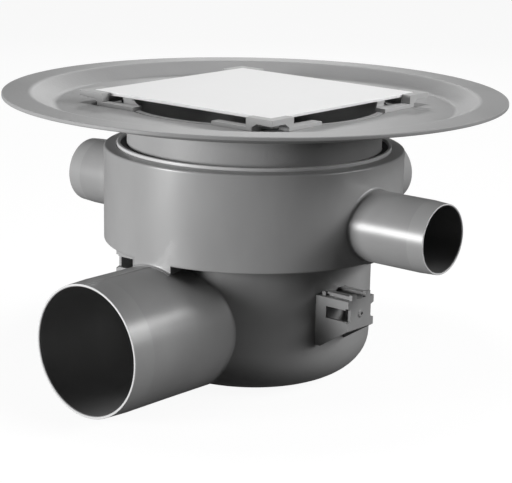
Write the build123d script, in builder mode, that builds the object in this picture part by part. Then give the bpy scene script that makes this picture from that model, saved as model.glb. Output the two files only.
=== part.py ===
from build123d import *
import os
from math import cos, radians, sin

os.makedirs("parts", exist_ok=True)

# A shower gully in grey moulded plastic: a round housing with one side outlet and three side inlets,
# a lift-out trap inside it, and a sheet-bonding flange that turns and slides in the housing's mouth.
# Millimetres. Z is up, the origin is the middle of the housing's flat underside, the outlet points
# along -Y, and the inlets point along +X, -X and +Y.

# Housing: the lower cup
cup_r = 69.7                # outside radius
cup_wall = 2.8
floor_wall = 2.8
corner_reach = 32.0         # the rounded bottom corner, inwards
corner_rise = 25.0          # and upwards

# Housing: the upper chamber
chamber_wall = 3.0
chamber_draft = 0.4         # how much narrower it is at its lower edge
chamber_bottom = 77.8       # height of its underside
chamber_top = 132.4         # height of its top face
chamber_round = 2.2         # rounding of its upper outer edge
chamber_lower_round = 0.8
shelf_wall = 2.8            # the chamber's floor, which the trap sits on
mouth_space = 6.1           # from the flange's neck to the recess that the seal ring turns in
mouth_land = 7.2            # width of the top face outside that recess
mouth_slope = 0.5           # the top face rises this much towards the recess
mouth_depth = 3.0
ledge_space = 2.1           # from the neck to the ledge under the seal ring
ledge_wall = 2.5

# Pipe stubs
outlet_height = 38.3        # the outlet's axis above the base
outlet_r = 37.5             # the spigot that takes a socket
outlet_wall = 2.2
outlet_reach = 137.0        # from the housing's axis to the mouth
outlet_spigot = 35.0        # length of the straight spigot
outlet_tip_r = 36.9
outlet_taper = 14.0         # length of the tapered end
inlet_height = 99.1
inlet_r = 20.0
inlet_wall = 1.8
inlet_reach = 133.0
inlet_spigot = 31.0
inlet_tip_r = 19.4
inlet_taper = 10.0
root_growth = 0.3           # the stubs widen this much towards the housing
inlet_turns = (0, 90, 180)  # degrees about Z from +X

# Hanger brackets on the cup, one on each side
bracket_width = 23.6
bracket_offset = -11.2      # the bracket's middle, along Y
bracket_reach = 18.7        # from the cup's outside to its end face
bracket_top = 60.0
bracket_drop = 16.9         # height of the end face
bracket_slant = 11.8        # the side walls run this much further down at the cup
bracket_wall = 1.8
bracket_gap = 0.1           # between its back and the cup
window_depth = 13.4         # the side windows, back from the end face
window_height = 6.7
window_below_top = 5.0
notch_depth = 2.6           # the end face is cut back at the windows
notch_flare = 0.9
rail_spread = 6.3           # the two hanger rails, either side of the bracket's middle
rail_web = 2.0
rail_lip = 4.2
rail_rise = 2.2
rail_lip_height = 0.9
rail_stop = 2.0             # a raised stop at each rail's outer end
rail_stop_rise = 3.0
tab_spread = 9.2            # two thin tabs at the back, against the cup
tab_depth = 1.2
tab_wall = 0.6
tab_rise = 2.3
boss_r = 2.0
boss_rise = 0.8
boss_hole_r = 0.9

# Seal ring and lip seal in the housing's mouth
turn_gap = 0.3              # round the seal ring
face_gap = 0.2              # between turning faces
ring_height = 5.0
ring_wall = 2.0
ring_foot = 1.2             # height of its foot
seal_height = 2.4
seal_fit = 0.1              # between the lip seal and its ring
seal_root = 2.4             # width of the lip seal's root
seal_lip = 0.8              # height of its lip

# Flange
neck_wall = 2.5
neck_bottom = 112.0
flange_r = 144.3
flange_top = 163.4
flange_wall = 2.2
band_width = 16.3           # the flat bonding band
slope_width = 13.0          # from the band down to the sunken ring
dish_depth = 6.8
slope_round = 8.0           # rounding between the slope and its neighbours
groove_space = 1.7          # from the neck's outside to a fine groove round the throat
groove_width = 1.2
groove_depth = 0.7
flange_edge = 0.5           # rounding of the rim
mark_r = 2.9                # a round mould mark on the neck
mark_depth = 0.3
mark_below = 7.9            # its middle, below the flange's underside
mark_turn = -22.0           # degrees about Z from +X

# Cover and its corner feet
cover_side = 142.0          # over the corner feet
cover_wall = 1.8
cover_set_back = 5.8        # the plate's edge, in from the feet's outer faces
cover_edge = 0.4
cover_gap = 0.15            # between the plate and the rims of the feet
foot_height = 7.4           # from the flange to the top of the cover
foot_pad = 18.1             # side of the square corner pad
foot_pad_wall = 3.2
boss_start = 3.0            # a square boss under the pad
boss_side = 6.5
boss_drop = 1.0
leg_start = 10.8            # the leg's slanted edge runs from here to the rail's start
rail_start = 14.0
foot_rail = 28.2            # length of the foot rails
foot_rail_width = 7.1
foot_rail_wall = 2.2
lug_start_left = 28.7       # where the left foot's lugs start, from its tip
lug_start_right = 34.6
lug_length = 7.3
lug_wall = 1.8
lug_lip = 1.2               # height of the lip along the lug's top
lug_lip_proud = 0.6
lug_hollow = 0.7            # of its curved end
pin_hole_r = 0.7
pin_hole_in = 10.0

# The lift-out trap
seat_width = 3.3            # how far its plate and flat seal lie over the shelf
trap_clearance = 0.8        # round them, on their way out through the neck
trap_seal_width = 4.0
trap_seal_wall = 2.0
plate_wall = 2.5
dish_start = 44.0           # the plate dips from here to the dip pipe
plate_dip = 7.0
dip_r = 26.6                # outside radius of the dip pipe
dip_wall = 2.2
dip_bottom = 17.0
water_seal = 50.0           # depth of water that the trap holds
bucket_r = 49.8             # outside radius of the trap cup
bucket_wall = 2.0
bucket_bottom = 9.0
bucket_round = 10.0
hanger_count = 3
hanger_arc = 14.0           # degrees of the trap cup's hangers
hanger_gap = 0.3
hook_reach = 3.5
hook_wall = 2.0
sieve_r = 46.2
sieve_wall = 2.0
sieve_slots = 24            # in the outer row; the inner row has half as many
sieve_slot = 2.6
sieve_slot_inner = 13.0
sieve_slot_outer = 23.0
sieve_outer_inner = 27.0
sieve_outer_outer = 41.0
grip_half = 17.0            # half length of the sieve's grip
grip_rise = 9.0
grip_wall = 3.0
sieve_skirt_height = 4.5
sieve_skirt_wall = 1.6
sieve_skirt_gap = 0.8

# Radii and heights that follow from the sizes above
cup_inner_r = cup_r - cup_wall
bracket_front = cup_r + bracket_reach
trap_plate_r = cup_inner_r + seat_width
neck_inner_r = trap_plate_r + trap_clearance
neck_r = neck_inner_r + neck_wall
mouth_r = neck_r + mouth_space
ledge_r = neck_r + ledge_space
ring_r = mouth_r - turn_gap
ring_foot_r = ledge_r + face_gap
chamber_r = mouth_r + mouth_land
chamber_inner_r = chamber_r - chamber_wall
band_r = flange_r - band_width
dish_r = band_r - slope_width
groove_r = neck_r + groove_space
shelf_top = chamber_bottom + shelf_wall
ledge_top = chamber_top - mouth_depth
ring_bottom = ledge_top + face_gap
ring_top = ring_bottom + ring_height
dish_top = flange_top - dish_depth
cover_top = dish_top + foot_height
pad_under = cover_top - foot_pad_wall
plate_under = cover_top - cover_wall
foot_rail_top = dish_top + foot_rail_wall
foot_rail_end = rail_start + foot_rail
plate_bottom = shelf_top + trap_seal_wall
plate_top = plate_bottom + plate_wall
bucket_rim = dip_bottom + water_seal
quarter_turn = 90.0


def turned_plane(turn, height):
    """A plane that faces out from the Z axis, turned about it from +X, at a height."""
    outward = Vector(1, 0, 0).rotate(Axis.Z, turn)
    return Plane((0, 0, height), x_dir=Vector(0, 0, 1).cross(outward), z_dir=outward)


def stub(face, start, reach, spigot, radius, taper, tip_radius):
    """A turned stub along the face's normal: a root that widens inwards, a spigot and a tapered end."""
    profile = Plane(face.origin, x_dir=face.z_dir, z_dir=face.x_dir)
    root = reach - taper - spigot
    with BuildSketch(profile) as section:
        with BuildLine():
            Polyline(
                (start, 0),
                (start, radius + root_growth),
                (root, radius),
                (root + spigot, radius),
                (reach, tip_radius),
                (reach, 0),
                close=True,
            )
        make_face()
    revolve(section.sketch, axis=Axis(face.origin, face.z_dir))


def bore(face, start, reach, radius):
    """A straight bore along the face's normal."""
    with BuildSketch(face.offset(start)) as hole:
        Circle(radius)
    extrude(hole.sketch, amount=reach - start, mode=Mode.SUBTRACT)


# Housing: one moulding, with the cup, the chamber and the four pipe stubs
outlet_face = turned_plane(-90, outlet_height)
inlet_faces = [turned_plane(turn, inlet_height) for turn in inlet_turns]
with BuildPart() as housing:
    with BuildSketch(Plane.XZ):
        with BuildLine():
            base = Line((0, 0), (cup_r - corner_reach, 0))
            corner = EllipticalCenterArc(
                (cup_r - corner_reach, corner_rise),
                corner_reach,
                corner_rise,
                -quarter_turn,
                arc_size=quarter_turn,
            )
            Polyline(
                corner @ 1,
                (cup_r, chamber_bottom),
                (chamber_r - chamber_draft - chamber_lower_round, chamber_bottom),
                (chamber_r - chamber_draft, chamber_bottom + chamber_lower_round),
                (chamber_r, chamber_top - chamber_round),
            )
            shoulder = CenterArc(
                (chamber_r - chamber_round, chamber_top - chamber_round), chamber_round, 0, quarter_turn
            )
            Polyline(shoulder @ 1, (mouth_r, chamber_top + mouth_slope), (0, chamber_top + mouth_slope), base @ 0)
        make_face()
    revolve(axis=Axis.Z)
    stub(outlet_face, corner_reach, outlet_reach, outlet_spigot, outlet_r, outlet_taper, outlet_tip_r)
    for face in inlet_faces:
        stub(face, cup_r, inlet_reach, inlet_spigot, inlet_r, inlet_taper, inlet_tip_r)
    with BuildSketch(Plane.XZ):
        with BuildLine():
            base = Line((0, floor_wall), (cup_r - corner_reach, floor_wall))
            corner = EllipticalCenterArc(
                (cup_r - corner_reach, corner_rise),
                corner_reach - cup_wall,
                corner_rise - floor_wall,
                -quarter_turn,
                arc_size=quarter_turn,
            )
            Polyline(
                corner @ 1,
                (cup_inner_r, shelf_top),
                (chamber_inner_r, shelf_top),
                (chamber_inner_r, ledge_top - ledge_wall),
                (ledge_r, ledge_top - ledge_wall),
                (ledge_r, ledge_top),
                (mouth_r, ledge_top),
                (mouth_r, chamber_top + 2 * mouth_slope),
                (0, chamber_top + 2 * mouth_slope),
                base @ 0,
            )
        make_face()
    revolve(axis=Axis.Z, mode=Mode.SUBTRACT)
    bore(outlet_face, corner_reach, outlet_reach, outlet_r - outlet_wall)
    for face in inlet_faces:
        bore(face, cup_r, inlet_reach, inlet_r - inlet_wall)
housing.part.label = "housing"
export_step(housing.part, "parts/housing.step")


def hanger_bracket(side):
    """A hollow bracket on the cup's side wall; side is 1 at +X and -1 at -X."""
    bottom = bracket_top - bracket_drop
    middle = Plane((0, bracket_offset, 0), x_dir=(side, 0, 0), z_dir=(0, -side, 0))
    window_top = bracket_top - window_below_top
    with BuildPart() as bracket:
        with BuildSketch(middle):
            with BuildLine():
                Polyline(
                    (cup_r / 2, bracket_top),
                    (bracket_front, bracket_top),
                    (bracket_front, bottom),
                    (cup_r, bottom - bracket_slant),
                    (cup_r / 2, bottom - bracket_slant),
                    close=True,
                )
            make_face()
        extrude(amount=bracket_width / 2, both=True)
        with BuildSketch(middle):
            with BuildLine():
                Polyline(
                    (cup_r / 2, bracket_top - bracket_wall),
                    (bracket_front - bracket_wall, bracket_top - bracket_wall),
                    (bracket_front - bracket_wall, 0),
                    (cup_r / 2, 0),
                    close=True,
                )
            make_face()
        extrude(amount=bracket_width / 2 - bracket_wall, both=True, mode=Mode.SUBTRACT)
        with BuildSketch(middle):
            with Locations((bracket_front - window_depth / 2 - bracket_wall, window_top - window_height / 2)):
                Rectangle(window_depth, window_height)
        extrude(amount=bracket_width, both=True, mode=Mode.SUBTRACT)
        end_face = Plane(
            (side * bracket_front, bracket_offset, window_top - window_height / 2),
            x_dir=(0, 1, 0),
            z_dir=(side, 0, 0),
        )
        for edge_side in (-1, 1):
            with BuildSketch(end_face):
                with BuildLine():
                    Polyline(
                        (edge_side * (bracket_width / 2 - notch_depth), -window_height / 2),
                        (edge_side * bracket_width / 2, -window_height / 2 - notch_flare),
                        (edge_side * bracket_width / 2, window_height / 2 + notch_flare),
                        (edge_side * (bracket_width / 2 - notch_depth), window_height / 2),
                        close=True,
                    )
                make_face()
            extrude(amount=-bracket_wall, mode=Mode.SUBTRACT)
            rail = Plane((0, bracket_offset + edge_side * rail_spread, bracket_top))
            with BuildSketch(rail):
                with Locations((side * (cup_r + bracket_front) / 2, 0)):
                    Rectangle(bracket_front - cup_r, rail_web)
            extrude(amount=rail_rise)
            with BuildSketch(rail.offset(rail_rise - rail_lip_height)):
                with Locations((side * (cup_r + bracket_front) / 2, 0)):
                    Rectangle(bracket_front - cup_r, rail_lip)
            extrude(amount=rail_lip_height)
            with BuildSketch(rail):
                with Locations((side * (bracket_front - rail_stop / 2), 0)):
                    Rectangle(rail_stop, rail_lip)
            extrude(amount=rail_stop_rise)
            with BuildSketch(Plane((0, bracket_offset + edge_side * tab_spread, bracket_top))):
                with Locations((side * cup_r, 0)):
                    Rectangle(2 * tab_depth, tab_wall)
            extrude(amount=tab_rise)
        with BuildSketch(end_face):
            Circle(boss_r)
        extrude(amount=boss_rise)
        with BuildSketch(end_face.offset(-bracket_wall)):
            Circle(boss_hole_r)
        extrude(amount=2 * bracket_wall, mode=Mode.SUBTRACT)
        with BuildSketch(Plane.XY):
            Circle(cup_r + bracket_gap)
        extrude(amount=2 * bracket_top, mode=Mode.SUBTRACT)
    return bracket


for name, side in (("bracket_right", 1), ("bracket_left", -1)):
    bracket = hanger_bracket(side)
    bracket.part.label = name
    export_step(bracket.part, "parts/" + name + ".step")


# Seal ring: a turned ring whose foot carries the lip seal
with BuildPart() as seal_ring:
    with BuildSketch(Plane.XZ):
        with BuildLine():
            Polyline(
                (ring_foot_r, ring_bottom),
                (ring_r, ring_bottom),
                (ring_r, ring_top),
                (ring_r - ring_wall, ring_top),
                (ring_r - ring_wall, ring_bottom + ring_foot),
                (ring_foot_r, ring_bottom + ring_foot),
                close=True,
            )
        make_face()
    revolve(axis=Axis.Z)
seal_ring.part.label = "seal_ring"
export_step(seal_ring.part, "parts/seal_ring.step")

# Lip seal: soft rubber, its lip just short of the neck
with BuildPart() as neck_seal:
    seal_outer = ring_r - ring_wall - seal_fit
    seal_bottom = ring_bottom + ring_foot
    with BuildSketch(Plane.XZ):
        with BuildLine():
            Polyline(
                (seal_outer - seal_root, seal_bottom),
                (seal_outer, seal_bottom),
                (seal_outer, seal_bottom + seal_height),
                (neck_r + turn_gap, seal_bottom + seal_height),
                (neck_r + turn_gap, seal_bottom + seal_height - seal_lip),
                close=True,
            )
        make_face()
    revolve(axis=Axis.Z)
neck_seal.part.label = "neck_seal"
export_step(neck_seal.part, "parts/neck_seal.step")

# Flange: a dished disc with a short neck
with BuildPart() as flange:
    with BuildSketch(Plane.XZ):
        with BuildLine():
            Polyline(
                (neck_inner_r, neck_bottom),
                (neck_r, neck_bottom),
                (neck_r, dish_top - flange_wall),
                (dish_r, dish_top - flange_wall),
                (band_r, flange_top - flange_wall),
                (flange_r, flange_top - flange_wall),
                (flange_r, flange_top),
                (band_r, flange_top),
                (dish_r, dish_top),
                (groove_r + groove_width, dish_top),
                (groove_r + groove_width, dish_top - groove_depth),
                (groove_r, dish_top - groove_depth),
                (groove_r, dish_top),
                (neck_inner_r, dish_top),
                close=True,
            )
        make_face()
        fillet(vertices().filter_by(lambda corner: corner.X in (dish_r, band_r)), radius=slope_round)
        fillet(vertices().filter_by(lambda corner: corner.X == flange_r), radius=flange_edge)
    revolve(axis=Axis.Z)
    mark_height = dish_top - flange_wall - mark_below
    with BuildSketch(turned_plane(mark_turn, mark_height).offset(neck_r - mark_depth)):
        Circle(mark_r)
    extrude(amount=neck_wall, mode=Mode.SUBTRACT)
flange.part.label = "flange"
export_step(flange.part, "parts/flange.step")

# Cover plate: a plain square plate
plate_side = cover_side - 2 * (cover_set_back + cover_gap)
with BuildPart() as cover_plate:
    with BuildSketch(Plane.XY.offset(plate_under)):
        Rectangle(plate_side, plate_side)
    extrude(amount=cover_wall)
    chamfer(cover_plate.faces().sort_by(Axis.Z)[-1].edges(), length=cover_edge)
cover_plate.part.label = "cover_plate"
export_step(cover_plate.part, "parts/cover_plate.step")


def corner_foot(turn, lug_start):
    """A corner foot, drawn from its tip at -X, -Y and turned about Z; a lug_start of 0 leaves out its lugs."""
    tip = Plane((-cover_side / 2, -cover_side / 2, 0))
    with BuildPart() as foot:
        with BuildSketch(tip.offset(pad_under)):
            Rectangle(foot_pad, foot_pad, align=Align.MIN)
        extrude(amount=foot_pad_wall)
        with BuildSketch(tip.offset(pad_under - boss_drop)):
            with Locations((boss_start, boss_start)):
                Rectangle(boss_side, boss_side, align=Align.MIN)
        extrude(amount=boss_drop)
        with BuildSketch(tip.offset(plate_under)):
            with Locations((cover_set_back, cover_set_back)):
                Rectangle(foot_pad, foot_pad, align=Align.MIN)
        extrude(amount=cover_wall, mode=Mode.SUBTRACT)
        for x_side in (True, False):
            along = Vector(1, 0, 0) if x_side else Vector(0, 1, 0)
            inward = Vector(0, 1, 0) if x_side else Vector(1, 0, 0)
            side_face = Plane(tip.origin, x_dir=along, z_dir=along.cross(Vector(0, 0, 1)))
            depth = inward.dot(side_face.z_dir)
            with BuildSketch(side_face):
                with BuildLine():
                    Polyline(
                        (leg_start, pad_under),
                        (foot_pad, pad_under),
                        (foot_pad, foot_rail_top),
                        (rail_start, foot_rail_top),
                        close=True,
                    )
                make_face()
            extrude(amount=depth * cover_set_back)
            with BuildSketch(side_face):
                with Locations((rail_start, dish_top)):
                    Rectangle(foot_rail, foot_rail_wall, align=Align.MIN)
            extrude(amount=depth * foot_rail_width)
            if lug_start > 0:
                lug_end = lug_start + lug_length
                with BuildSketch(side_face.offset(depth * (cover_set_back + lug_lip_proud))):
                    with BuildLine():
                        top = Polyline(
                            (lug_start, foot_rail_top), (lug_start, plate_under), (lug_end, plate_under)
                        )
                        curve = SagittaArc(top @ 1, (foot_rail_end, foot_rail_top), -lug_hollow)
                        Line(curve @ 1, top @ 0)
                    make_face()
                extrude(amount=depth * (lug_wall - lug_lip_proud))
                with BuildSketch(side_face.offset(depth * cover_set_back)):
                    with Locations((lug_start, plate_under)):
                        Rectangle(lug_length, lug_lip, align=(Align.MIN, Align.MAX))
                extrude(amount=depth * lug_wall)
        with BuildSketch(tip.offset(cover_top)):
            with Locations((cover_set_back / 2, pin_hole_in)):
                Circle(pin_hole_r)
        extrude(amount=-foot_pad_wall / 2, mode=Mode.SUBTRACT)
    return foot.part.rotate(Axis.Z, turn)


# The feet at the left and right have lugs, those at the front and back have none
for name, turn, lug_start in (
    ("corner_foot_left", 0, lug_start_left),
    ("corner_foot_front", quarter_turn, 0),
    ("corner_foot_right", 2 * quarter_turn, lug_start_right),
    ("corner_foot_back", 3 * quarter_turn, 0),
):
    foot = corner_foot(turn, lug_start)
    foot.label = name
    export_step(foot, "parts/" + name + ".step")

# Trap funnel: the seat, the dish and the dip pipe in one moulding
with BuildPart() as trap_funnel:
    dip_inner = dip_r - dip_wall
    with BuildSketch(Plane.XZ):
        with BuildLine():
            Polyline(
                (dip_inner, dip_bottom),
                (dip_r, dip_bottom),
                (dip_r, plate_bottom - plate_dip),
                (dish_start, plate_bottom),
                (trap_plate_r, plate_bottom),
                (trap_plate_r, plate_top),
                (dish_start, plate_top),
                (dip_inner, plate_top - plate_dip),
                close=True,
            )
        make_face()
    revolve(axis=Axis.Z)
    slot_inner = (bucket_r - bucket_wall) * cos(radians(hanger_arc / 2)) - hanger_gap
    slot_outer = bucket_r + hanger_gap
    slot_width = 2 * bucket_r * sin(radians(hanger_arc / 2)) + 2 * hanger_gap
    with BuildSketch(Plane.XY.offset(plate_bottom)):
        with PolarLocations((slot_inner + slot_outer) / 2, hanger_count, start_angle=quarter_turn):
            Rectangle(slot_outer - slot_inner, slot_width)
    extrude(amount=plate_wall, mode=Mode.SUBTRACT)
trap_funnel.part.label = "trap_funnel"
export_step(trap_funnel.part, "parts/trap_funnel.step")

# Trap seal: a flat rubber ring under the funnel's plate
with BuildPart() as trap_seal:
    with BuildSketch(Plane.XY.offset(shelf_top)):
        Circle(trap_plate_r)
        Circle(trap_plate_r - trap_seal_width, mode=Mode.SUBTRACT)
    extrude(amount=trap_seal_wall)
trap_seal.part.label = "trap_seal"
export_step(trap_seal.part, "parts/trap_seal.step")

# Trap cup: hangs from the funnel's plate by three hooked arms
with BuildPart() as trap_cup:
    with BuildSketch(Plane.XZ):
        with BuildLine():
            floor = Line((0, bucket_bottom), (bucket_r - bucket_round, bucket_bottom))
            bend = CenterArc(
                (bucket_r - bucket_round, bucket_bottom + bucket_round), bucket_round, -quarter_turn, quarter_turn
            )
            rim = Polyline(bend @ 1, (bucket_r, bucket_rim), (bucket_r - bucket_wall, bucket_rim))
            inner = CenterArc(
                (bucket_r - bucket_round, bucket_bottom + bucket_round),
                bucket_round - bucket_wall,
                0,
                -quarter_turn,
            )
            Line(rim @ 1, inner @ 0)
            Polyline(inner @ 1, (0, bucket_bottom + bucket_wall), floor @ 0)
        make_face()
    revolve(axis=Axis.Z)
    for index in range(hanger_count):
        turn = quarter_turn - hanger_arc / 2 + index * 4 * quarter_turn / hanger_count
        with BuildSketch(Plane.XZ.rotated((0, 0, turn))):
            with BuildLine():
                Polyline(
                    (bucket_r - bucket_wall, bucket_rim - bucket_wall),
                    (bucket_r, bucket_rim - bucket_wall),
                    (bucket_r, plate_top),
                    (bucket_r + hook_reach, plate_top),
                    (bucket_r + hook_reach, plate_top + hook_wall),
                    (bucket_r - bucket_wall, plate_top + hook_wall),
                    close=True,
                )
            make_face()
        revolve(axis=Axis.Z, revolution_arc=hanger_arc)
trap_cup.part.label = "trap_cup"
export_step(trap_cup.part, "parts/trap_cup.step")

# Hair sieve: a slotted disc over the dish, with a short skirt in the dish and a grip across it
with BuildPart() as hair_sieve:
    with BuildSketch(Plane.XY.offset(plate_top)):
        Circle(sieve_r)
        with PolarLocations((sieve_slot_inner + sieve_slot_outer) / 2, sieve_slots // 2):
            Rectangle(sieve_slot_outer - sieve_slot_inner, sieve_slot, mode=Mode.SUBTRACT)
        with PolarLocations((sieve_outer_inner + sieve_outer_outer) / 2, sieve_slots):
            Rectangle(sieve_outer_outer - sieve_outer_inner, sieve_slot, mode=Mode.SUBTRACT)
    extrude(amount=sieve_wall)
    with BuildSketch(Plane.XY.offset(plate_top)):
        skirt_r = dip_r - dip_wall - sieve_skirt_gap
        Circle(skirt_r + sieve_skirt_wall)
        Circle(skirt_r, mode=Mode.SUBTRACT)
    extrude(amount=-sieve_skirt_height)
    with BuildSketch(Plane.XZ):
        with Locations((0, plate_top + sieve_wall)):
            Ellipse(grip_half, grip_rise)
        with Locations((0, plate_top + sieve_wall / 2)):
            Rectangle(2 * grip_half, 2 * grip_rise, align=(Align.CENTER, Align.MAX), mode=Mode.SUBTRACT)
    extrude(amount=grip_wall / 2, both=True)
hair_sieve.part.label = "hair_sieve"
export_step(hair_sieve.part, "parts/hair_sieve.step")
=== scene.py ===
"""A shower gully in grey moulded plastic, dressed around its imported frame. Metres, +Z up."""
import math

import bmesh
import bpy
import numpy as np
from mathutils import Matrix, Vector


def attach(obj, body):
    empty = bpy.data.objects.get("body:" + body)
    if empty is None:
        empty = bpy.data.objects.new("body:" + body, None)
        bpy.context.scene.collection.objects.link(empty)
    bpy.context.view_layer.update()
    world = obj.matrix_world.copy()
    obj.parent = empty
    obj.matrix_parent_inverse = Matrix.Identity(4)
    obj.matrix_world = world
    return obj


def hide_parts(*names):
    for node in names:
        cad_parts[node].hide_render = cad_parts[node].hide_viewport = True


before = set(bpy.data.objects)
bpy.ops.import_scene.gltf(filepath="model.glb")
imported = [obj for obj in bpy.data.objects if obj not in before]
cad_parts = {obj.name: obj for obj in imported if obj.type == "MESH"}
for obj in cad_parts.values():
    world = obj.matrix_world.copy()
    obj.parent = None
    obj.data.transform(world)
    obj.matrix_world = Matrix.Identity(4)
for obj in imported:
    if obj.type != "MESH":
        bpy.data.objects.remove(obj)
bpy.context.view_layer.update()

# Studio floor: a plain sheet under the gully. The camera sees it almost white, with the gully's soft
# shadow, and the gully's underside sees it dark, so that little light comes back up from it.
floor_half = 8.0
floor_drop = 0.0002
floor_grey = (0.1, 0.1, 0.1, 1)
floor_white = 0.93
floor_sheen = 0.05
floor_rough = 0.9
floor_corners = [
    (-floor_half, -floor_half, -floor_drop),
    (floor_half, -floor_half, -floor_drop),
    (floor_half, floor_half, -floor_drop),
    (-floor_half, floor_half, -floor_drop),
]
floor_mesh = bpy.data.meshes.new("studio_floor")
floor_mesh.from_pydata(floor_corners, [], [(0, 1, 2, 3)])
studio_floor = bpy.data.objects.new("studio_floor", floor_mesh)
bpy.context.scene.collection.objects.link(studio_floor)


def computed(tree, operation, *values):
    """A Math node of the tree, fed with sockets or plain numbers, as its output."""
    node = tree.nodes.new("ShaderNodeMath")
    node.operation = operation
    for socket, value in zip(node.inputs, values):
        if isinstance(value, bpy.types.NodeSocket):
            tree.links.new(value, socket)
        else:
            socket.default_value = value
    return node.outputs[0]


def ray_share(tree, seen, mirrored):
    """A share: seen for a camera ray, mirrored for a glossy or transmission ray, and 0 for the rest."""
    ray = tree.nodes.new("ShaderNodeLightPath").outputs
    either = computed(tree, "MAXIMUM", ray["Is Glossy Ray"], ray["Is Transmission Ray"])
    return computed(
        tree, "MULTIPLY_ADD", ray["Is Camera Ray"], seen, computed(tree, "MULTIPLY", either, mirrored)
    )


floor_paint = bpy.data.materials.new("studio_floor_paint")
floor_paint.use_nodes = True
floor_mesh.materials.append(floor_paint)
floor_tree = floor_paint.node_tree
floor_shader = floor_tree.nodes["Principled BSDF"].inputs
floor_shader["Base Color"].default_value = floor_grey
floor_shader["Roughness"].default_value = floor_rough
floor_shader["Specular IOR Level"].default_value = 0.0
floor_shader["Emission Strength"].default_value = 1.0
floor_tree.links.new(ray_share(floor_tree, floor_white, floor_sheen), floor_shader["Emission Color"])

# Camera: low, from the front right, so that the outlet points to the left of the picture. Its place,
# tilt and lens were fitted to the photograph's edges.
camera_turn = math.radians(39.8)
camera_distance = 1.0058
camera_height = 0.3210
camera_yaw = math.radians(0.124)
camera_pitch = math.radians(13.74)
camera_roll = math.radians(1.24)
camera_lens = 124.41
camera_sensor = 36.0
ahead = Vector((-math.sin(camera_turn), math.cos(camera_turn), 0))
across = Vector((math.cos(camera_turn), math.sin(camera_turn), 0))
upright = Vector((0, 0, 1))
looking = ahead * math.cos(camera_yaw) + across * math.sin(camera_yaw)
sideways = across * math.cos(camera_yaw) - ahead * math.sin(camera_yaw)
forward = looking * math.cos(camera_pitch) - upright * math.sin(camera_pitch)
rising = upright * math.cos(camera_pitch) + looking * math.sin(camera_pitch)
right = sideways * math.cos(camera_roll) + rising * math.sin(camera_roll)
up = rising * math.cos(camera_roll) - sideways * math.sin(camera_roll)
camera_data = bpy.data.cameras.new("photo_camera")
camera_data.sensor_width = camera_sensor
camera_data.sensor_fit = "HORIZONTAL"
camera_data.lens = camera_lens
photo_camera = bpy.data.objects.new("photo_camera", camera_data)
bpy.context.scene.collection.objects.link(photo_camera)
pose = Matrix((right, up, -forward)).transposed().to_4x4()
pose.translation = upright * camera_height - ahead * camera_distance
photo_camera.matrix_world = pose
bpy.context.scene.camera = photo_camera

# World: white where the camera looks past the gully, dim in the gully's reflections, and next to no
# light of its own, so that the lamps alone shape the plastic.
world_white = 0.95
world_sheen = 0.1
world_fill = 0.02
world = bpy.data.worlds.new("studio_world")
bpy.context.scene.world = world
world.use_nodes = True
world_tree = world.node_tree
world_light = computed(world_tree, "MAXIMUM", ray_share(world_tree, world_white, world_sheen), world_fill)
background = world_tree.nodes["Background"].inputs
world_tree.links.new(world_light, background["Strength"])
background["Color"].default_value = (1, 1, 1, 1)

# Lamps: a soft box low on the left; a wide one and a small one on the right, the small one for the
# streak along the outlet; a near one above, whose light the flange keeps off the housing; and a weak
# one behind, which is mirrored in the flange's front.
middle_height = 0.08


def soft_lamp(name, bearing, rise, distance, width, height, power):
    """A rectangular lamp facing the gully, at a bearing in degrees, positive to the camera's right."""
    turn = math.radians(bearing)
    lift = math.radians(rise)
    towards = (across * math.sin(turn) - ahead * math.cos(turn)) * math.cos(lift) + upright * math.sin(lift)
    light = bpy.data.lights.new(name, "AREA")
    light.shape = "RECTANGLE"
    light.size = width
    light.size_y = height
    light.energy = power
    lamp = bpy.data.objects.new(name, light)
    lamp.location = upright * middle_height + towards * distance
    lamp.rotation_euler = (-towards).to_track_quat("-Z", "Y").to_euler()
    bpy.context.scene.collection.objects.link(lamp)


soft_lamp("left_box", bearing=-64, rise=5, distance=1.4, width=0.4, height=0.42, power=23.5)
soft_lamp("right_box", bearing=74, rise=22, distance=1.4, width=0.8, height=0.5, power=11.0)
soft_lamp("side_box", bearing=90, rise=30, distance=1.4, width=0.3, height=0.25, power=5.0)
soft_lamp("top_box", bearing=0, rise=88, distance=0.75, width=0.22, height=0.22, power=2.65)
soft_lamp("back_box", bearing=180, rise=20, distance=1.4, width=0.35, height=0.15, power=1.8)

# Housing: one grey moulding, with the cup, the wide chamber above it and four pipe stubs.
# Each of them is a turned solid; they are joined, bored out, and rounded where they meet.
cup_r = 0.0697
cup_wall = 0.0028
cup_lap = 0.001
corner_reach = 0.032
corner_rise = 0.025
corner_hold = 0.0008
chamber_r = 0.0868
chamber_low_r = 0.0864
chamber_wall = 0.003
chamber_bottom = 0.0778
chamber_top = 0.1324
foot_round = 0.0009
shoulder_round = 0.0012
shelf_top = 0.0806
shelf_edge = 0.0004
shelf_round = 0.001
shelf_flat = 0.0003
mouth_r = 0.0796
mouth_top = 0.1329
mouth_edge = 0.0004
mouth_flare = 0.0005
mouth_past = 0.0001
ledge_r = 0.0756
ledge_top = 0.1294
ledge_under = 0.1269
outlet_height = 0.0383
outlet_r = 0.0375
outlet_root_r = 0.0378
outlet_tip_r = 0.0369
outlet_bore_r = 0.0353
outlet_start = 0.032
outlet_reach = 0.137
outlet_spigot = 0.049
outlet_taper = 0.014
outlet_root_round = 0.0018
inlet_height = 0.0991
inlet_r = 0.020
inlet_root_r = 0.0203
inlet_tip_r = 0.0194
inlet_bore_r = 0.0182
inlet_reach = 0.133
inlet_spigot = 0.041
inlet_taper = 0.010
inlet_root_round = 0.0015
spigot_bend = 0.02
taper_bend = 0.004
end_round = 0.0003
bore_back = 0.002
bore_lip = 0.0008
bore_lip_depth = 0.0006
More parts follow.
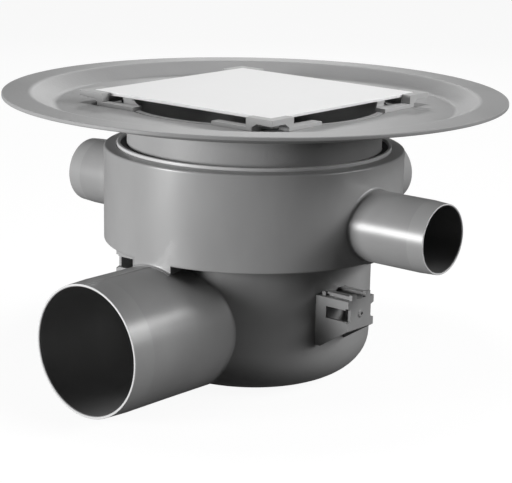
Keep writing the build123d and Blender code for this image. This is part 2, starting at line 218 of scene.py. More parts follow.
bore_past = 0.0002
stub_turns = 160
housing_grey = (0.3, 0.3, 0.301)


def rounded_outline(corners, rounds, steps=7, hold=0.0004):
    """Closed outline through corners, where corner i becomes an arc of radius rounds[i].

    The arc's middle is on the corner's bisector, radius / sin(half the corner's angle) away,
    and its points swing evenly from the foot on one side to the foot on the other. One more
    point on each side, hold away from the arc, keeps the shading of the flat beside it."""
    corners = np.asarray(corners, float)
    rounds = np.asarray(rounds, float)
    back = np.roll(corners, 1, 0) - corners
    on = np.roll(corners, -1, 0) - corners
    back_length = np.linalg.norm(back, axis=1)
    on_length = np.linalg.norm(on, axis=1)
    back /= back_length[:, None]
    on /= on_length[:, None]
    half = np.arccos(np.clip((back * on).sum(1), -1, 1)) / 2
    trim = rounds / np.tan(half)
    bisector = back + on
    bisector /= np.linalg.norm(bisector, axis=1)[:, None]
    middle = corners + bisector * (rounds / np.sin(half))[:, None]
    start = corners + back * trim[:, None] - middle
    end = corners + on * trim[:, None] - middle
    part = np.linspace(0, 1, steps)[None, :, None]
    angle = (math.pi - 2 * half)[:, None, None]
    swing = np.sin((1 - part) * angle) * start[:, None] + np.sin(part * angle) * end[:, None]
    arc = middle[:, None] + swing / np.sin(angle)
    before = corners + back * np.minimum(trim + hold, back_length / 2)[:, None]
    after = corners + on * np.minimum(trim + hold, on_length / 2)[:, None]
    return np.concatenate([before[:, None], arc, after[:, None]], 1).reshape(-1, 2)


def grid_faces(rows, columns, tube=False):
    """The squares of a grid of points, counted row by row, whose columns close to a ring.

    The rows close to a ring too, or for a tube the first and the last get one end face each."""
    row, column = np.meshgrid(np.arange(rows - 1 if tube else rows), np.arange(columns), indexing="ij")
    next_row = (row + 1) % rows
    next_column = (column + 1) % columns
    corners = [row * columns + column, next_row * columns + column]
    corners += [next_row * columns + next_column, row * columns + next_column]
    faces = np.stack(corners, -1).reshape(-1, 4).tolist()
    if tube:
        faces += [list(range(columns)), list(range((rows - 1) * columns, rows * columns))]
    return faces


def clean_mesh(name, points, faces, crease=30):
    """A closed mesh of the points and faces, doubles merged, faces outward, smooth below crease."""
    mesh = bpy.data.meshes.new(name)
    mesh.from_pydata(points.reshape(-1, 3).tolist(), [], faces)
    work = bmesh.new()
    work.from_mesh(mesh)
    bmesh.ops.remove_doubles(work, verts=work.verts, dist=1e-6)
    bmesh.ops.dissolve_degenerate(work, edges=work.edges, dist=1e-7)
    bmesh.ops.recalc_face_normals(work, faces=work.faces)
    work.to_mesh(mesh)
    work.free()
    mesh.shade_smooth()
    mesh.set_sharp_from_angle(angle=math.radians(crease))
    return mesh


def turned_mesh(name, outline, turns=224, base=(0, 0, 0), axis=(0, 0, 1)):
    """A closed outline carried round an axis: base + axis * along + distance * (side cos a + other sin a)."""
    outline = np.asarray(outline, float)
    axis = np.asarray(axis, float)
    side = np.cross(axis, (0, 0, 1) if axis[2] == 0 else (0, 1, 0))
    other = np.cross(axis, side)
    angle = np.arange(turns) * 2 * math.pi / turns
    spoke = np.cos(angle)[:, None] * side + np.sin(angle)[:, None] * other
    points = np.asarray(base, float) + outline[:, None, 1:] * axis + outline[:, None, :1] * spoke
    return clean_mesh(name, points, grid_faces(len(outline), turns))


def combine(name, first, others, operation):
    """The first mesh joined with, or cut by, each of the others in turn."""
    block = bpy.data.objects.new(name, first)
    bpy.context.scene.collection.objects.link(block)
    tools = []
    for index, mesh in enumerate(others):
        tool = bpy.data.objects.new(name + "_tool_" + str(index), mesh)
        bpy.context.scene.collection.objects.link(tool)
        cut = block.modifiers.new("cut_" + str(index), "BOOLEAN")
        cut.operation = operation
        cut.solver = "EXACT"
        cut.object = tool
        tools.append(tool)
    shaped = bpy.data.meshes.new_from_object(block.evaluated_get(bpy.context.evaluated_depsgraph_get()))
    for spare in [block] + tools:
        bpy.data.objects.remove(spare)
    return shaped


def cup_corner(inset, steps=15):
    """The cup's lower corner, inset from its outside: a quarter ellipse from its floor to its wall."""
    turn = np.linspace(0, math.pi / 2, steps)
    out = cup_r - corner_reach + (corner_reach - inset) * np.sin(turn)
    return np.stack([out, corner_rise - (corner_rise - inset) * np.cos(turn)], 1)


def stub_outlines(root_r, stub_r, tip_r, bore_r, start, reach, spigot, taper):
    """The outlines of a pipe stub and of its bore: a long cone, a straight spigot and a tapered tip."""
    stub = rounded_outline(
        [
            (0, start),
            (root_r, start),
            (stub_r, reach - spigot),
            (stub_r, reach - taper),
            (tip_r, reach),
            (0, reach),
        ],
        [0, 0, spigot_bend, taper_bend, end_round, 0],
    )
    bore = rounded_outline(
        [
            (0, start - bore_back),
            (bore_r, start - bore_back),
            (bore_r, reach - bore_lip_depth),
            (bore_r + bore_lip, reach + bore_past),
            (0, reach + bore_past),
        ],
        [0, 0, bore_lip, 0, 0],
    )
    return stub, bore


chamber_outline = rounded_outline(
    [
        (0, chamber_bottom),
        (chamber_low_r, chamber_bottom),
        (chamber_r, chamber_top),
        (mouth_r, mouth_top),
        (0, mouth_top),
    ],
    [0, foot_round, shoulder_round, mouth_edge, 0],
)
cup_top = chamber_bottom + cup_lap
cup_outline = [(0, 0), *cup_corner(0), (cup_r, corner_rise + corner_hold), (cup_r, cup_top), (0, cup_top)]
outlet_stub, outlet_bore = stub_outlines(
    root_r=outlet_root_r,
    stub_r=outlet_r,
    tip_r=outlet_tip_r,
    bore_r=outlet_bore_r,
    start=outlet_start,
    reach=outlet_reach,
    spigot=outlet_spigot,
    taper=outlet_taper,
)
inlet_stub, inlet_bore = stub_outlines(
    root_r=inlet_root_r,
    stub_r=inlet_r,
    tip_r=inlet_tip_r,
    bore_r=inlet_bore_r,
    start=cup_r,
    reach=inlet_reach,
    spigot=inlet_spigot,
    taper=inlet_taper,
)
outlet_way = (0, -1, 0)
inlet_ways = [(1, 0, 0), (-1, 0, 0), (0, 1, 0)]
outlet_base = (0, 0, outlet_height)
inlet_base = (0, 0, inlet_height)
stubs = [turned_mesh("outlet", outlet_stub, stub_turns, outlet_base, outlet_way)]
stubs += [turned_mesh("inlet", inlet_stub, stub_turns, inlet_base, way) for way in inlet_ways]
bores = [turned_mesh("outlet_bore", outlet_bore, stub_turns, outlet_base, outlet_way)]
bores += [turned_mesh("inlet_bore", inlet_bore, stub_turns, inlet_base, way) for way in inlet_ways]
cup_inner_r = cup_r - cup_wall
chamber_inner_r = chamber_r - chamber_wall
cavity_outline = [
    (0, cup_wall),
    *cup_corner(cup_wall),
    (cup_inner_r, shelf_top - shelf_edge),
    (cup_inner_r + shelf_edge, shelf_top),
    (chamber_inner_r - shelf_round, shelf_top),
    (chamber_inner_r - shelf_flat, shelf_top + shelf_flat),
    (chamber_inner_r, shelf_top + shelf_round),
    (chamber_inner_r, ledge_under),
    (ledge_r, ledge_under),
    (ledge_r, ledge_top),
    (mouth_r, ledge_top),
    (mouth_r, mouth_top - mouth_edge),
    (mouth_r + mouth_flare, mouth_top + mouth_past),
    (0, mouth_top + mouth_past),
]
cup = turned_mesh("cup", cup_outline)
chamber = turned_mesh("chamber", chamber_outline)
cavity = turned_mesh("cavity", cavity_outline)
shell = combine("shell", cup, [chamber] + stubs, "UNION")
shell = combine("shell", shell, [cavity] + bores, "DIFFERENCE")


def root_fillet(name, wall, stub_r, height, axis, radius, sink=0.00004, depth=1.25, turns=192, steps=8):
    """The hollow rounding where a stub leaves a turned wall, as a closed ring of wedges.

    A ball of the given radius rolls round the stub and touches both. Its middle is
    stub_r + radius from the stub's axis and radius off the wall, so for each turn about the
    stub its height is known, and the wall's outline gives its distance from the Z axis.
    The wedge's face is the ball's arc from one touching point to the other, set in by sink
    so that no gap shows, and its back lies inside the wall, further in for a larger depth."""
    wall = np.asarray(wall, float)
    slope = np.gradient(wall, axis=0)
    slope /= np.linalg.norm(slope, axis=1)[:, None]
    outward = np.stack([slope[:, 1], -slope[:, 0]], 1)
    track = wall + outward * radius
    turn = np.arange(turns) * 2 * math.pi / turns
    across_stub = (stub_r + radius) * np.sin(turn)
    ball_height = height + (stub_r + radius) * np.cos(turn)
    ball_r = np.interp(ball_height, track[:, 1], track[:, 0])
    leans = np.stack([np.interp(ball_height, track[:, 1], outward[:, i]) for i in (0, 1)], 1)
    leans /= np.linalg.norm(leans, axis=1)[:, None]
    reach_out = np.sqrt(ball_r**2 - across_stub**2)
    middle = np.stack([across_stub, reach_out, ball_height], 1)
    level_lean = leans[:, 0] / ball_r
    from_wall = np.stack([across_stub * level_lean, reach_out * level_lean, leans[:, 1]], 1)
    from_stub = np.stack([np.sin(turn), np.zeros(turns), np.cos(turn)], 1)
    swing = np.arccos(np.clip((from_wall * from_stub).sum(1), -1, 1))[:, None, None]
    part = np.linspace(0, 1, steps)[None, :, None]
    facing = np.sin((1 - part) * swing) * from_wall[:, None] + np.sin(part * swing) * from_stub[:, None]
    arc = middle[:, None] - (radius + sink) * facing / np.sin(swing)
    back = middle - (radius + sink) * (from_wall + from_stub) * depth
    section = np.concatenate([arc, back[:, None]], 1)
    side = np.cross(axis, (0, 0, 1))
    points = section @ np.array([side, axis, (0, 0, 1)], float)
    return clean_mesh(name, points, grid_faces(*section.shape[:2]))


# The walls that the stubs leave. Each line runs on past its wall's end, so that the ball that rolls round
# the stub meets a wall everywhere.
chamber_line_foot = 0.06
cup_line = [*cup_corner(0), (cup_r, corner_rise + cup_lap), (cup_r, chamber_top)]
chamber_line = [(chamber_low_r, chamber_line_foot), (chamber_low_r, chamber_bottom), (chamber_r, chamber_top)]
fillets = [
    root_fillet("inlet_fillet", chamber_line, inlet_root_r, inlet_height, way, inlet_root_round)
    for way in inlet_ways
]
fillets.append(
    root_fillet("outlet_fillet", cup_line, outlet_root_r, outlet_height, outlet_way, outlet_root_round)
)

# Web: a short saddle-shaped wall of the housing's plastic, moulded in one with it. It closes the gap
# between the chamber's foot and the outlet's top.
web_turn = math.radians(9)
web_round = 0.0012
web_depth = 0.02
web_lift = 0.00001
web_sink = 0.001
web_lap = 0.0016


def saddle_web(name, turns=21, steps=8):
    """A closed wedge that stands on the outlet and ends inside the chamber's floor.

    For each turn about the Z axis the outlet's top is outlet_height + sqrt(outlet_root_r^2 - x^2)
    high. The face stands on it in a hollow quarter arc of radius web_round, and then goes
    straight up the chamber's wall."""
    turn = np.linspace(-web_turn, web_turn, turns)[:, None]
    arc = np.linspace(math.pi / 2, 0, steps)
    outlet_top = outlet_height + np.sqrt(outlet_root_r**2 - (chamber_low_r * np.sin(turn)) ** 2)
    face = chamber_low_r + web_lift + web_round * (1 - np.cos(arc))
    back = [chamber_low_r - web_depth]
    out = np.concatenate([back, face[:1], face, face[-1:], back])
    low = outlet_top - web_sink
    high = np.full_like(outlet_top, chamber_bottom + web_lap)
    level = np.concatenate([low, low, outlet_top + web_round * (1 - np.sin(arc)), high, high], 1)
    points = np.stack([out * np.sin(turn), -out * np.cos(turn), level], -1)
    return clean_mesh(name, points, grid_faces(*points.shape[:2], tube=True))


# Parting lines: the mould's two halves leave a fine raised line along the top and the bottom of the
# outlet, from the chamber's foot to the tapered tip.
line_rise = 0.0002
line_half = 0.0004
line_crown = 0.0002
line_sink = 0.0002
line_start = 0.046
line_end = 0.0012
line_along = [line_start, outlet_reach - outlet_spigot, outlet_reach - outlet_taper, outlet_reach - line_end]
line_off = [outlet_root_r, outlet_r, outlet_r, outlet_tip_r]


def parting_line(name, side):
    """A flat ridge carried along the outlet's outline, above its axis for side 1 and below for side -1."""
    across_line = np.array([-line_half, line_half, line_crown, -line_crown])
    above_line = np.array([-line_sink, -line_sink, line_rise, line_rise])
    level = outlet_height + side * (np.array(line_off)[:, None] + above_line)
    points = np.stack(np.broadcast_arrays(across_line, -np.array(line_along)[:, None], level), -1)
    return clean_mesh(name, points, grid_faces(*points.shape[:2], tube=True))


def merged(name, meshes, crease=30):
    """One mesh with the faces of all the given meshes."""
    work = bmesh.new()
    for mesh in meshes:
        work.from_mesh(mesh)
    whole = bpy.data.meshes.new(name)
    work.to_mesh(whole)
    work.free()
    whole.shade_smooth()
    whole.set_sharp_from_angle(angle=math.radians(crease))
    return whole


trims = [saddle_web("outlet_web"), parting_line("upper_line", 1), parting_line("lower_line", -1)]
housing_mesh = merged("housing_skin", [shell] + fillets + trims)


# Moulded plastic up close: soft flow marks a few centimetres long that shift the tone and the polish,
# and the fine even grain of the mould's surface. Every piece's material uses it with its own values.
def add_node(tree, kind, **values):
    """A node of the kind with the values of its named inputs; a linked socket is given as a value too."""
    node = tree.nodes.new(kind)
    for socket, value in values.items():
        place = node.inputs[socket.replace("_", " ")]
        if isinstance(value, bpy.types.NodeSocket):
            tree.links.new(value, place)
        else:
            place.default_value = value
    return node


def scaled_colour(tree, colour, share):
    """The colour times the share, both sockets, as a socket."""
    node = tree.nodes.new("ShaderNodeVectorMath")
    node.operation = "SCALE"
    tree.links.new(colour, node.inputs[0])
    tree.links.new(share, node.inputs["Scale"])
    return node.outputs[0]


flow_stretch = (1.3, 1.3, 0.6)
flow_detail = 3.0
grain_detail = 2.0
noise_middle = 0.5
moulded = bpy.data.node_groups.new("moulded_surface", "ShaderNodeTree")
moulded.interface.new_socket("Colour", in_out="INPUT", socket_type="NodeSocketColor")
for socket in ("Tone Spread", "Flow Scale", "Grain Scale", "Grain Share", "Roughness", "Polish Spread"):
    moulded.interface.new_socket(socket, in_out="INPUT", socket_type="NodeSocketFloat")
moulded.interface.new_socket("Colour", in_out="OUTPUT", socket_type="NodeSocketColor")
moulded.interface.new_socket("Roughness", in_out="OUTPUT", socket_type="NodeSocketFloat")
moulded.interface.new_socket("Height", in_out="OUTPUT", socket_type="NodeSocketFloat")
given = moulded.nodes.new("NodeGroupInput").outputs
result = moulded.nodes.new("NodeGroupOutput").inputs
place = add_node(moulded, "ShaderNodeTexCoord").outputs["Object"]
stretched = add_node(moulded, "ShaderNodeMapping", Vector=place, Scale=flow_stretch).outputs[0]
flow = add_node(
    moulded, "ShaderNodeTexNoise", Vector=stretched, Scale=given["Flow Scale"], Detail=flow_detail
).outputs["Fac"]
grain = add_node(
    moulded, "ShaderNodeTexNoise", Vector=place, Scale=given["Grain Scale"], Detail=grain_detail
).outputs["Fac"]
centred = computed(moulded, "SUBTRACT", flow, noise_middle)
tone = computed(moulded, "MULTIPLY_ADD", centred, given["Tone Spread"], 1.0)
polish = computed(moulded, "MULTIPLY_ADD", centred, given["Polish Spread"], given["Roughness"])
relief = computed(moulded, "MULTIPLY_ADD", grain, given["Grain Share"], flow)
moulded.links.new(scaled_colour(moulded, given["Colour"], tone), result["Colour"])
moulded.links.new(polish, result["Roughness"])
moulded.links.new(relief, result["Height"])


def moulded_plastic(name, colour, relief_depth, specular=0.5, **finish):
    """A Principled material with moulded_surface, whose other inputs are given by name in finish."""
    paint = bpy.data.materials.new(name)
    paint.use_nodes = True
    tree = paint.node_tree
    shader = tree.nodes["Principled BSDF"].inputs
    skin = tree.nodes.new("ShaderNodeGroup")
    skin.node_tree = moulded
    skin.inputs["Colour"].default_value = (*colour, 1)
    for socket, value in finish.items():
        skin.inputs[socket.replace("_", " ").title()].default_value = value
    relief = skin.outputs["Height"]
    bump = add_node(tree, "ShaderNodeBump", Height=relief, Strength=1.0, Distance=relief_depth)
    shader["Specular IOR Level"].default_value = specular
    tree.links.new(skin.outputs["Colour"], shader["Base Color"])
    tree.links.new(skin.outputs["Roughness"], shader["Roughness"])
    tree.links.new(bump.outputs["Normal"], shader["Normal"])
    return paint


def finished(name, mesh, body, slot, paint, *replaced):
    """A piece made of the mesh, in its material, on its body, in place of its CAD nodes."""
    mesh.materials.clear()
    mesh.materials.append(paint)
    piece = bpy.data.objects.new(name, mesh)
    bpy.context.scene.collection.objects.link(piece)
    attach(piece, body)
    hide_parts(*replaced)
    return piece


# The housing's plastic: the stubs' end faces are painted pale and their tapered tips a little paler than the
# rest, both as painted highlights, and their bores darker, as painted shade. Each is told from the rest by
# its distance along or from the stub's axis.
# Painted highlight: the pale grey given to the stubs' end faces, and a tenth of it to their tapered tips.
end_highlight_grey = (0.6, 0.6, 0.602, 1)
end_rough = 0.5
end_zone_depth = 0.0003
taper_highlight_share = 0.1
# Painted shade: the share of the plastic's colour kept inside the inlet bores and inside the outlet bore.
inlet_painted_shade = 0.4
outlet_painted_shade = 0.75
inside_lip = 0.0003
housing_paint = moulded_plastic(
    "housing_plastic",
    housing_grey,
    relief_depth=0.00016,
    tone_spread=0.34,
    flow_scale=24.0,
    grain_scale=900.0,
    grain_share=0.05,
    roughness=0.3,
    polish_spread=0.04,
)
housing_tree = housing_paint.node_tree
housing_shader = housing_tree.nodes["Principled BSDF"].inputs
housing_skin = housing_tree.nodes["Group"].outputs
place = add_node(housing_tree, "ShaderNodeTexCoord").outputs["Object"]
spot = add_node(housing_tree, "ShaderNodeSeparateXYZ", Vector=place).outputs


def measure(operation, first, second=0.0):
    """A Math node of the housing's material, as its output."""
    return computed(housing_tree, operation, first, second)


def in_bore(aside, along, height, bore_r, wall_r):
    """1 where the root of aside^2 + (z - height)^2 is under the bore's radius and along is past the wall."""
    above = measure("SUBTRACT", spot["Z"], height)
    squared = measure("ADD", measure("MULTIPLY", aside, aside), measure("MULTIPLY", above, above))
    near = measure("LESS_THAN", measure("SQRT", squared), bore_r + inside_lip)
    return measure("MULTIPLY", near, measure("GREATER_THAN", along, wall_r))


def blended(kind, share, plain, changed):
    """A Mix node of the housing's material: the plain socket where share is 0, changed where it is 1."""
    node = housing_tree.nodes.new("ShaderNodeMix")
    node.data_type = "RGBA" if kind == "Color" else "FLOAT"
    sockets = {socket.identifier: socket for socket in (*node.inputs, *node.outputs)}
    housing_tree.links.new(share, sockets["Factor_Float"])
    housing_tree.links.new(plain, sockets["A_" + kind])
    sockets["B_" + kind].default_value = changed
    return sockets["Result_" + kind]


aside = measure("MINIMUM", measure("ABSOLUTE", spot["X"]), measure("ABSOLUTE", spot["Y"]))
inlet_along = measure("MAXIMUM", measure("ABSOLUTE", spot["X"]), spot["Y"])
outlet_along = measure("MULTIPLY", spot["Y"], -1.0)
in_inlet = in_bore(aside, inlet_along, inlet_height, inlet_bore_r, chamber_r)
in_outlet = in_bore(aside, outlet_along, outlet_height, outlet_bore_r, cup_r)
outside = measure("SUBTRACT", 1.0, measure("MAXIMUM", in_inlet, in_outlet))
inlet_taper_zone = measure("GREATER_THAN", inlet_along, inlet_reach - inlet_taper)
outlet_taper_zone = measure("GREATER_THAN", outlet_along, outlet_reach - outlet_taper)
inlet_end_zone = measure("GREATER_THAN", inlet_along, inlet_reach - end_zone_depth)
outlet_end_zone = measure("GREATER_THAN", outlet_along, outlet_reach - end_zone_depth)
# Painted highlight on the tapered tips and the end faces, outside the bores only.
painted_taper_highlight = measure("MULTIPLY", measure("MAXIMUM", inlet_taper_zone, outlet_taper_zone), taper_highlight_share)
cut = measure("MULTIPLY", measure("MAXIMUM", measure("MAXIMUM", inlet_end_zone, outlet_end_zone), painted_taper_highlight), outside)
# Painted shade: how much the bores' colour is darkened, by the shares above.
inlet_shade_loss = measure("MULTIPLY", in_inlet, 1.0 - inlet_painted_shade)
outlet_shade_loss = measure("MULTIPLY", in_outlet, 1.0 - outlet_painted_shade)
painted_bore_shade = measure("SUBTRACT", 1.0, measure("ADD", inlet_shade_loss, outlet_shade_loss))
# The painted highlight's pale grey blended into the plastic's colour.
highlight_tone = blended("Color", cut, housing_skin["Colour"], end_highlight_grey)
highlight_polish = blended("Float", cut, housing_skin["Roughness"], end_rough)
# The painted shade darkens the colour inside the bores.
housing_tree.links.new(scaled_colour(housing_tree, highlight_tone, painted_bore_shade), housing_shader["Base Color"])
housing_tree.links.new(highlight_polish, housing_shader["Roughness"])
finished("housing_skin", housing_mesh, "housing", "housing_plastic", housing_paint, "housing")


# Hanger brackets: small hollow mouldings welded to the cup, one on each side, with two rails
# on top for a hanger strap. Their outline is the CAD's; every long edge is slightly softened.
def softened_copy(name, node, width, shortest, steps=2, flat=0.5, crease=28, sharp=50):
    """A copy of a node's mesh, flats cleaned and creased edges longer than shortest rounded to width."""
    work = bmesh.new()
    work.from_mesh(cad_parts[node].data)
    bmesh.ops.remove_doubles(work, verts=work.verts, dist=1e-6)
    bmesh.ops.dissolve_limit(work, angle_limit=math.radians(flat), verts=work.verts, edges=work.edges)
    edges = [
        edge
        for edge in work.edges
        if len(edge.link_faces) == 2
        and edge.calc_length() > shortest
        and edge.calc_face_angle(0) > math.radians(crease)
    ]
    bmesh.ops.bevel(
        work, geom=edges, offset=width, segments=steps, profile=0.5, affect="EDGES", clamp_overlap=True
    )
    mesh = bpy.data.meshes.new(name)
    work.to_mesh(mesh)
    work.free()
    mesh.shade_smooth()
    mesh.set_sharp_from_angle(angle=math.radians(sharp))
    return mesh


def weighted(piece, flat_weight=90):
    """Keeps broad flats flat in the shading, beside their rounded edges."""
    shading = piece.modifiers.new("weighted", "WEIGHTED_NORMAL")
    shading.keep_sharp = True
    shading.weight = flat_weight


bracket_grey = (0.3, 0.3, 0.301)
bracket_paint = moulded_plastic(
    "bracket_plastic",
    bracket_grey,
    relief_depth=0.0001,
    tone_spread=0.2,
    flow_scale=60.0,
    grain_scale=900.0,
    grain_share=0.08,
    roughness=0.38,
    polish_spread=0.1,
)
for bracket in ("bracket_right", "bracket_left"):
    skin_name = bracket + "_skin"
    bracket_mesh = softened_copy(skin_name, bracket, width=0.00025, shortest=0.0012)
    weighted(finished(skin_name, bracket_mesh, "housing", "bracket_plastic", bracket_paint, bracket))

# Seal ring: a lighter grey ring that turns in the housing's mouth and holds the lip seal. Its
# thin upright rim stands a little above the housing.
ring_r = 0.0793
ring_inner_r = 0.0773
ring_foot_r = 0.0758
ring_bottom = 0.1296
ring_top = 0.1346
ring_foot = 0.0012
ring_hold = 0.0002
foot_edge = 0.0001
under_edge = 0.0003
rim_edge = 0.0006
inner_edge = 0.0002
ring_grey = (0.5, 0.5, 0.502)
ring_outline = rounded_outline(
    [
        (ring_foot_r, ring_bottom),
        (ring_r, ring_bottom),
        (ring_r, ring_top),
        (ring_inner_r, ring_top),
        (ring_inner_r, ring_bottom + ring_foot),
        (ring_foot_r, ring_bottom + ring_foot),
    ],
    [foot_edge, under_edge, rim_edge, rim_edge, inner_edge, foot_edge],
    hold=ring_hold,
)
ring_paint = moulded_plastic(
    "ring_plastic",
    ring_grey,
    relief_depth=0.0001,
    tone_spread=0.1,
    flow_scale=30.0,
    grain_scale=900.0,
    grain_share=0.05,
    roughness=0.4,
    polish_spread=0.1,
)
ring_mesh = turned_mesh("seal_ring_skin", ring_outline)
finished("seal_ring_skin", ring_mesh, "collar", "ring_plastic", ring_paint, "seal_ring")

# Lip seal: soft black rubber, moulded in a ring and fixed in the seal ring. Its thin lip, which
# slopes inwards and up, wipes the neck of the flange.
neck_r = 0.0735
lip_gap = 0.0003
lip_round = 0.0003
seal_outer_r = 0.0772
seal_root = 0.0024
seal_bottom = 0.1308
seal_top = 0.1332
seal_lip = 0.0008
seal_edge = 0.0001
seal_hollow = 0.0002
seal_black = (0.025, 0.025, 0.026)
seal_outline = rounded_outline(
    [
        (seal_outer_r - seal_root, seal_bottom),
        (seal_outer_r, seal_bottom),
        (seal_outer_r, seal_top),
        (neck_r + lip_gap, seal_top),
        (neck_r + lip_gap, seal_top - seal_lip),
    ],
    [seal_hollow, seal_edge, lip_round, lip_round, lip_round],
    hold=ring_hold,
)
rubber_paint = moulded_plastic(
    "seal_rubber",
    seal_black,
    relief_depth=0.00006,
    tone_spread=0.3,
    flow_scale=120.0,
    grain_scale=1500.0,
    grain_share=0.4,
    roughness=0.6,
    polish_spread=0.15,
)
seal_mesh = turned_mesh("neck_seal_skin", seal_outline)
finished("neck_seal_skin", seal_mesh, "collar", "seal_rubber", rubber_paint, "neck_seal")

# Flange: a wide dished disc with a short neck, turned as one closed outline. The flat band at its rim
# takes the waterproof sheet, a fine groove runs round the throat, and the neck has a shallow round mark.
neck_inner_r = 0.0710
neck_bottom = 0.1120
neck_edge = 0.0005
neck_root = 0.0012
flange_r = 0.1443
flange_top = 0.1634
flange_wall = 0.0022
flange_turns = 320
rim_round = 0.0006
band_r = 0.1280
dish_r = 0.1150
dish_top = 0.1566
dish_bend = 0.008
groove_r = 0.0752
groove_width = 0.0012
groove_depth = 0.0007
groove_edge = 0.0002
mark_r = 0.0029
mark_depth = 0.0003
mark_past = 0.002
mark_height = 0.1465
mark_turn = math.radians(-22)
mark_turns = 48
flange_grey = (0.3, 0.3, 0.301)
under_rounds = [neck_edge, neck_edge, neck_root, dish_bend, dish_bend, rim_round]
top_rounds = [rim_round, dish_bend, dish_bend] + [groove_edge] * 4 + [rim_round]
flange_outline = rounded_outline(
    [
        (neck_inner_r, neck_bottom),
        (neck_r, neck_bottom),
        (neck_r, dish_top - flange_wall),
        (dish_r, dish_top - flange_wall),
        (band_r, flange_top - flange_wall),
        (flange_r, flange_top - flange_wall),
        (flange_r, flange_top),
        (band_r, flange_top),
        (dish_r, dish_top),
        (groove_r + groove_width, dish_top),
        (groove_r + groove_width, dish_top - groove_depth),
        (groove_r, dish_top - groove_depth),
        (groove_r, dish_top),
        (neck_inner_r, dish_top),
    ],
    under_rounds + top_rounds,
    steps=9,
)
mark_axis = (math.cos(mark_turn), math.sin(mark_turn), 0)
mark_foot = neck_r - mark_depth
mark_outline = [(0, mark_foot), (mark_r, mark_foot), (mark_r, neck_r + mark_past), (0, neck_r + mark_past)]
mark_tool = turned_mesh("mark", mark_outline, mark_turns, (0, 0, mark_height), mark_axis)
flange_disc = turned_mesh("flange_disc", flange_outline, flange_turns)
flange_mesh = merged("flange_skin", [combine("flange_cut", flange_disc, [mark_tool], "DIFFERENCE")])
flange_paint = moulded_plastic(
    "flange_plastic",
    flange_grey,
    relief_depth=0.00025,
    specular=0.25,
    tone_spread=0.2,
    flow_scale=26.0,
    grain_scale=500.0,
    grain_share=0.35,
    roughness=0.48,
    polish_spread=0.1,
)
finished("flange_skin", flange_mesh, "flange", "flange_plastic", flange_paint, "flange")

# Cover plate: a smooth near-white square plate in two layers, with a fine line round its edge. It lies
# in the rims of the four corner feet.
plate_half = 0.06505
plate_under = 0.1622
plate_top = 0.1640
plate_corner = 0.0008
under_edge_points = [(0.0003, 0), (0.00008, 0.0001), (0, 0.0003)]
top_edge_points = [(0, 0.0004), (0.00006, 0.00018), (0.0002, 0.00005), (0.0004, 0), (0.0008, 0)]
line_foot = plate_under + 0.0006
line_points = [(0, 0), (0.00025, 0.00008), (0.00025, 0.0002), (0, 0.00028)]
sharpest = 0.0001
plate_crease = 40
cover_white = (0.8, 0.8, 0.8)

# The plate's edge, from its underside up to its top. Each point is its inset from the plate's side, and
# its height over the underside, over the foot of the fine line, or under the top.
edge_profile = [
    *[(inset, plate_under + rise) for inset, rise in under_edge_points],
    *[(inset, line_foot + rise) for inset, rise in line_points],
    *[(inset, plate_top - drop) for inset, drop in top_edge_points],
]


def square_ring(inset, height, corner_steps=6):
    """Points at a height, round a square with rounded corners, half a side of plate_half less inset."""
    corner = max(plate_corner - inset, sharpest)
    reach = plate_half - inset - corner
    swing = np.linspace(0, math.pi / 2, corner_steps)
    quarters = [(1, 1), (-1, 1), (-1, -1), (1, -1)]
    x = [sx * reach + corner * np.cos(swing + turn * math.pi / 2) for turn, (sx, sy) in enumerate(quarters)]
    y = [sy * reach + corner * np.sin(swing + turn * math.pi / 2) for turn, (sx, sy) in enumerate(quarters)]
    return np.stack([np.concatenate(x), np.concatenate(y), np.full(4 * corner_steps, height)], 1)


rings = np.stack([square_ring(inset, height) for inset, height in edge_profile])
plate_mesh = clean_mesh("cover_plate_skin", rings, grid_faces(*rings.shape[:2], tube=True), plate_crease)
cover_paint = moulded_plastic(
    "cover_plastic",
    cover_white,
    relief_depth=0.0001,
    specular=0.25,
    tone_spread=0.04,
    flow_scale=18.0,
    grain_scale=700.0,
    grain_share=0.1,
    roughness=0.65,
    polish_spread=0.06,
)
weighted(finished("cover_plate_skin", plate_mesh, "flange", "cover_plastic", cover_paint, "cover_plate"))

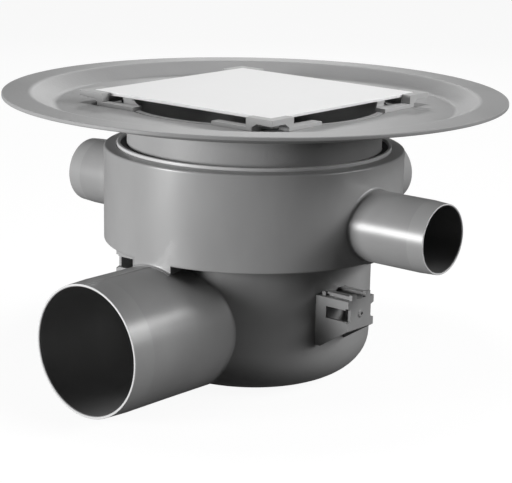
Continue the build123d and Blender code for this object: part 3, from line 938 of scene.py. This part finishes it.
# Corner feet: four pale mouldings that carry the plate. Each has a flat square pad, a short leg and two
# rails that rest on the flange.
foot_white = (0.4, 0.4, 0.4)
foot_paint = moulded_plastic(
    "foot_plastic",
    foot_white,
    relief_depth=0.0001,
    specular=0.3,
    tone_spread=0.06,
    flow_scale=40.0,
    grain_scale=900.0,
    grain_share=0.08,
    roughness=0.6,
    polish_spread=0.08,
)
for corner_name in ("left", "front", "right", "back"):
    foot = "corner_foot_" + corner_name
    foot_mesh = softened_copy(foot + "_skin", foot, width=0.0002, shortest=0.0011)
    weighted(finished(foot + "_skin", foot_mesh, "flange", "foot_plastic", foot_paint, foot))

# Lift-out trap: a funnel with a dip pipe, the cup that hangs from it, and the flat rubber ring it sits
# on. It stands loose on the shelf between chamber and cup, and is the CAD's shape with softened edges.
trap_grey = (0.42, 0.42, 0.425)
trap_paint = moulded_plastic(
    "trap_plastic",
    trap_grey,
    relief_depth=0.00015,
    tone_spread=0.14,
    flow_scale=28.0,
    grain_scale=900.0,
    grain_share=0.06,
    roughness=0.38,
    polish_spread=0.1,
)
for trap_piece, trap_slot, trap_finish in (
    ("trap_funnel", "trap_plastic", trap_paint),
    ("trap_cup", "trap_plastic", trap_paint),
    ("trap_seal", "seal_rubber", rubber_paint),
):
    trap_mesh = softened_copy(trap_piece + "_skin", trap_piece, width=0.00025, shortest=0.0014)
    finished(trap_piece + "_skin", trap_mesh, "housing", trap_slot, trap_finish, trap_piece)

# Hair sieve: a slotted light grey disc with a bowed grip, lying loose over the funnel. It is the CAD's
# shape with softened edges.
sieve_grey = (0.5, 0.5, 0.505)
sieve_paint = moulded_plastic(
    "sieve_plastic",
    sieve_grey,
    relief_depth=0.0001,
    tone_spread=0.1,
    flow_scale=40.0,
    grain_scale=900.0,
    grain_share=0.06,
    roughness=0.4,
    polish_spread=0.1,
)
sieve_mesh = softened_copy("hair_sieve_skin", "hair_sieve", width=0.0002, shortest=0.0014)
finished("hair_sieve_skin", sieve_mesh, "housing", "sieve_plastic", sieve_paint, "hair_sieve")

bpy.context.scene.view_settings.view_transform = "Standard"
